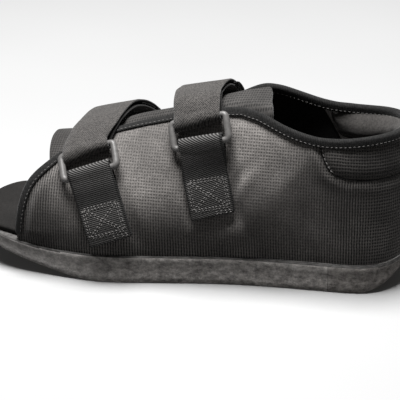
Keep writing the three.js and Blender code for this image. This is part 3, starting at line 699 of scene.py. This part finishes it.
# The pad's felt is several times darker than the same felt on the heel wall: painted shade on a face the lamp
# lights.
pad_felt = fleece("pad_felt", 0.026, 0.075, 700, 0.4 * MM)
shape = smoothed(welded("collar_pad"), 2)
for vert in shape.verts:
    place = vert.co / MM
    low = between(place.x, COLLAR_SEAM) + PAD_FOOT
    top = between(place.x, EDGE_NEAR if place.y < 0 else EDGE_FAR) - PAD_TOP
    share = (place.z - low) / (top - low)
    upper_edge = 0.8 + max(1 - share, 0)
    lower_edge = 0.5 + 2.2 * max(share, 0)
    front_edge = 0.4 + max((place.x - PAD_FRONT) / 18, 0)
    thick = min(upper_edge, lower_edge, front_edge, 1.1)
    wall = upper_tree.find_nearest(vert.co)[0]
    vert.co = wall + (vert.co - wall) * thick
    vert.co.z += PAD_SPREAD * min(max(2 * share - 1, -1), 1)
    vert.co.x -= PAD_FORWARD * held((PAD_FRONT + PAD_EASE - place.x) / PAD_EASE)
evened(shape, 5)
shape.normal_update()
for vert in shape.verts:
    vert.co -= vert.normal * PAD_SHRINK
shape = swollen(shape, PAD_PRESSURE, pad_limit)
evened(shape, 4)
pad = made_up(shape, "collar_padding", "collar_lining", pad_felt)
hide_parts("collar_pad")

# Tongue: knit over foam, lying under the two flaps and showing between them.
# Its toe end stands up in a rounded lip and its rear end stands free of the flaps.
TONGUE_AXIS_Z = 0.04
TONGUE_RADIUS = 0.05
tongue_cloth = knit("tongue_knit", 0.036, 0.001, 1.7 * MM, 2.5 * MM, 0.3 * MM, laid_loose)
shape = welded("tongue")
crease(shape, 60, 0.4)
shape = smoothed(shape, 2)
shape.normal_update()
for vert in shape.verts:
    outward = 1 if vert.normal.dot(spine_to(vert.co / MM)) > 0 else -1
    vert.co += vert.normal * (outward * 0.3 * noise.noise(vert.co * 60)) * MM
mapped(shape, lambda co: (co.x, math.atan2(co.y, co.z - TONGUE_AXIS_Z) * TONGUE_RADIUS))
tongue = made_up(shape, "tongue_flap", "tongue_mesh", tongue_cloth)
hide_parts("tongue")

# Webbing: a woven nylon tape looped round each ring's lower bar and doubled down the near side.
# Its lower end is sewn to the upper with a crossed box of pale thread, gone over twice.
WEBBING_WIDTH = 29.5
HALF_BOX = 11.5
BOX_ROWS = (4.5, 23.5)
BOX_PITCH = 2.3
TAIL_ROW = ((2, 1.2), (13, 1.2))
LOOP_SLACK = {"front": (2.6, 2.6), "rear": (4.2, 2)}
LOOP_DEPTH = 7 * MM
BOX_SEWING = Sewing(BOX_PITCH * MM, 1.5 * MM, 0.55 * MM)
ROW_GAP = 0.75
weave = Finish("twilled_tape", 0.7, 0.08)
where, u, v = weave.lay()
phase = weave.math("MULTIPLY", weave.math("MULTIPLY_ADD", u, 0.6, v), 2 * math.pi / (1.5 * MM))
floats = weave.math("MULTIPLY_ADD", weave.math("SINE", phase), 0.5, 0.5)
fuzz = weave.cloud(where, 1400, 3, 0.65)
yarn = weave.math("MULTIPLY_ADD", fuzz, 0.5, weave.math("MULTIPLY", floats, 0.5))
tone = weave.ramp(yarn, (0.25, grey(0.007)), (0.5, grey(0.034)), (0.75, grey(0.11)))
# Towards its sewn lower end the tape is lightened: painted light on the flattened, sewn part.
sewn_end_painted_light = weave.fade(v, 26.4, 22.4)
tone = weave.blend("SCREEN", weave.math("MULTIPLY", sewn_end_painted_light, floats), tone, grey(0.05))
# The tape is lighter towards the ring, and lighter again at its sewn end as painted light.
toward_ring = weave.fade(v, 32.9, 40)
sewn = weave.fade(v, 26, 23.5)
wear_and_painted_light = weave.math("MULTIPLY_ADD", toward_ring, 0.6, weave.math("MULTIPLY_ADD", sewn, 0.3, 0.5))
tone = weave.blend("MULTIPLY", 1.0, tone, wear_and_painted_light)
# Both edges of the tape are darkened: painted shadow where the tape stands off the upper.
painted_edge_shadow = weave.fade(weave.math("ABSOLUTE", u), 13.3, 14, 0.8)
weave.colour(weave.blend("MIX", painted_edge_shadow, tone, grey(0.004)))
weave.relief(floats, 0.4 * MM, 0.8)
for name, foot, head in WEBBINGS:
    up = (head - foot).normalized()
    across = Vector((up.z, 0, -up.x))
    shape = welded(f"webbing_{name}")
    crease(shape, 50, 0.75)
    shape = smoothed(shape, 2)
    crest = max(vert.co.dot(up) for vert in shape.verts)
    for vert in shape.verts:
        share = 0.5 + (vert.co - foot * MM).dot(across) / (WEBBING_WIDTH * MM)
        slack = LOOP_SLACK[name][0] * (1 - share) + LOOP_SLACK[name][1] * share
        vert.co += up * (slack * MM * held(1 - (crest - vert.co.dot(up)) / LOOP_DEPTH))
    mapped(shape, lambda co: ((co - foot * MM).dot(across), (co - foot * MM).dot(up)))
    tree = BVHTree.FromBMesh(shape)
    webbing = made_up(shape, f"webbing_{name}_tape", "webbing", weave)
    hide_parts(f"webbing_{name}")
    low, high = BOX_ROWS
    corners = [(-HALF_BOX, low), (HALF_BOX, low), (HALF_BOX, high), (-HALF_BOX, high)]
    runs = [(corners[a], corners[b]) for a, b in ((0, 1), (1, 2), (2, 3), (3, 0), (0, 2), (1, 3))]
    runs.append(TAIL_ROW)
    shape = bmesh.new()
    for number, (start, end) in enumerate(runs):
        for again in (-ROW_GAP, ROW_GAP):
            run = Vector(end) - Vector(start)
            beside = Vector((-run.y, run.x)).normalized() * again
            count = int(run.length / BOX_PITCH)
            for step in range(count):
                wander = noise.noise(Vector((number * 7.1, again * 3.3, step * 0.9)))
                s, t = Vector(start) + beside + run * ((step + 0.5 + 0.3 * wander) / count)
                spot = foot + across * s + up * t
                found, normal = on_side(tree, spot.x, spot.z, -1)
                if found:
                    along = across * (run.x + again * run.y * 0.5) + up * (run.y - again * run.x * 0.5)
                    length = BOX_SEWING.length + 0.4 * MM * wander
                    stitch(shape, found, along, normal, length, BOX_SEWING.width)
    sewing = made_up(shape, f"webbing_{name}_stitching", "webbing", pale_thread)

# Rings: moulded plastic bars, round in section, bent to a rounded rectangle.
# The webbing holds the lower bar and the strap turns round the upper one.
BAR_GROWTH = 0.25
SIDE_GROWTH = 0.5
plastic = Finish("moulded_plastic", 0.45, gloss=0.4)
haze = plastic.cloud(plastic.place(), 300, 4, 0.6)
plastic.colour(plastic.ramp(haze, (0.3, grey(0.08)), (0.7, grey(0.13))))
plastic.relief(plastic.cloud(plastic.place(), 1800, 2, 0.5), 0.05 * MM, 0.4)
for name, foot, head in WEBBINGS:
    up = (head - foot).normalized()
    across = Vector((up.z, 0, -up.x))
    shape = welded(f"ring_{name}")
    shape.normal_update()
    reach = max((vert.co - foot * MM).dot(across) for vert in shape.verts)
    for vert in shape.verts:
        aside = abs((vert.co - foot * MM).dot(across)) / reach
        vert.co += vert.normal * (BAR_GROWTH + SIDE_GROWTH * held((aside - 0.7) / 0.15)) * MM
    ring = made_up(smoothed(shape, 2), f"ring_{name}_frame", "ring_plastic", plastic)
    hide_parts(f"ring_{name}")

# Straps: brushed loop tape, grey and soft on the outside and black on the back.
# Each comes over from the far side, turns round its ring and lies back on itself.
DOWN = Vector((0, -0.35, -0.94))
FOLD_SLACK = {"front": (3.4, 3), "rear": (2.2, 5)}
FOLD_DEPTH = 8 * MM
TURN_OVER = math.radians(30)
STRAP_AXIS_Z = 0.05
NEAR_Y = -0.01
pile = Finish("brushed_loop", 0.95, 0.2)
where, u, v = pile.lay()
twill = pile.math("SINE", pile.math("MULTIPLY", pile.math("ADD", u, v), 2 * math.pi / (1.7 * MM)))
weft = pile.math("SINE", pile.math("MULTIPLY", pile.math("SUBTRACT", u, v), 2 * math.pi / (1.5 * MM)))
twill = pile.math("MULTIPLY_ADD", weft, 0.6, twill)
loops = pile.math("MULTIPLY_ADD", twill, 0.1, pile.cloud(where, 800, 4, 0.75))
tone = pile.ramp(pile.cloud(where, 130, 4, 0.6), (0.3, grey(0.034)), (0.7, grey(0.05)))
tone = pile.blend("OVERLAY", 0.9, tone, pile.ramp(loops, (0.36, grey(0.05)), (0.64, grey(0.95))))
pile.colour(tone)
pile.relief(loops, 0.6 * MM, 0.8)
backing = fleece("black_backing", 0.004, 0.016, 1400, 0.3 * MM)
for name in ("front", "rear"):
    shape = welded(f"strap_{name}")
    crease(shape, 60, 0.6)
    shape = smoothed(shape, 2)
    shape.faces.ensure_lookup_table()
    seed = max(shape.faces, key=lambda face: face.calc_center_median().z + 0.02 * face.normal.z)
    shown = {seed}
    front = [seed]
    while front:
        for edge in front.pop().edges:
            for other in edge.link_faces:
                if other not in shown and edge.calc_face_angle(0) < TURN_OVER:
                    shown.add(other)
                    front.append(other)
    for face in shape.faces:
        face.material_index = 0 if face in shown else 1
    shape.normal_update()
    for vert in shape.verts:
        vert.co += vert.normal * (0.18 * noise.noise(vert.co * 140)) * MM
    near = [vert for vert in shape.verts if vert.co.y < NEAR_Y]
    fold = max(vert.co.dot(DOWN) for vert in near)
    start = min(vert.co.x for vert in near)
    width = max(vert.co.x for vert in near) - start
    for vert in near:
        share = (vert.co.x - start) / width
        slack = FOLD_SLACK[name][0] * (1 - share) + FOLD_SLACK[name][1] * share
        vert.co += DOWN * (slack * MM * held(1 - (fold - vert.co.dot(DOWN)) / FOLD_DEPTH))
    reach = sum(math.hypot(vert.co.z - STRAP_AXIS_Z, vert.co.y) for vert in shape.verts) / len(shape.verts)
    mapped(shape, lambda co: (co.x, math.atan2(co.z - STRAP_AXIS_Z, co.y) * reach))
    strap = made_up(shape, f"strap_{name}_band", "strap_loop", pile, backing)
    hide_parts(f"strap_{name}")

# Hook ends: black hook tape on the inside of each strap's turned-back end.
# It grips the layer below and shows as a thin dark tab between the two.
hooks = Finish("hook_tape", 0.6)
barbs = hooks.node("ShaderNodeTexVoronoi", scale=900.0)
hooks.join(hooks.place(), barbs.inputs["Vector"])
hooks.colour(hooks.ramp(barbs.outputs["Distance"], (0.1, grey(0.02)), (0.6, grey(0.004))))
hooks.relief(barbs.outputs["Distance"], 0.3 * MM, 0.8)
for name in ("front", "rear"):
    shape = welded(f"hook_tab_{name}")
    crease(shape, 50, 0.8)
    tab = made_up(smoothed(shape, 2), f"hook_{name}_tab", "hook_tape", hooks)
    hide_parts(f"hook_tab_{name}")

# Stage: a plain pale floor under one large soft light, overhead and a little to the toe side.
# The floor throws no light back, and a faint even sky fills the shadows.
FLOOR_HALF = 8
paper = Finish("pale_paper", 0.9)
grain = paper.cloud(paper.place(), 3, 2, 0.5)
paper.colour(paper.ramp(grain, (0.3, (0.35, 0.35, 0.35)), (0.7, (0.37, 0.37, 0.37))))
shape = bmesh.new()
bmesh.ops.create_grid(shape, x_segments=2, y_segments=2, size=FLOOR_HALF)
mesh = bpy.data.meshes.new("floor")
shape.to_mesh(mesh)
shape.free()
mesh.materials.append(paper.material)
floor = bpy.data.objects.new("floor", mesh)
bpy.context.scene.collection.objects.link(floor)
floor.visible_diffuse = False

KEY_SPOT = Vector((-0.1, 0.0, 1.45))
key = bpy.data.lights.new("key", "AREA")
key.size = 0.7
key.energy = 62
light = bpy.data.objects.new("key", key)
light.location = KEY_SPOT
light.rotation_euler = (Vector((0, 0, 0.05)) - KEY_SPOT).to_track_quat("-Z", "Y").to_euler()
bpy.context.scene.collection.objects.link(light)
world = bpy.data.worlds.new("studio")
world.use_nodes = True
world.node_tree.nodes["Background"].inputs["Color"].default_value = (1, 1, 1, 1)
world.node_tree.nodes["Background"].inputs["Strength"].default_value = 0.095
bpy.context.scene.world = world
bpy.context.scene.view_settings.view_transform = "Standard"

# Camera: beside the shoe on the ring side, a little behind it and above it.
# A long lens from a metre and a half away keeps the shoe's proportions.
LOOK_AT = Vector((0, 0, 0.042))
AZIMUTH = math.radians(12)
ELEVATION = math.radians(24)
DISTANCE = 1.5
level = math.cos(ELEVATION)
back = Vector((math.sin(AZIMUTH) * level, -math.cos(AZIMUTH) * level, math.sin(ELEVATION)))
lens = bpy.data.cameras.new("camera")
lens.sensor_width = 36
lens.lens = 202.5
camera = bpy.data.objects.new("camera", lens)
camera.location = LOOK_AT + back * DISTANCE
camera.rotation_euler = (-back).to_track_quat("-Z", "Y").to_euler()
bpy.context.scene.collection.objects.link(camera)
bpy.context.scene.camera = camera
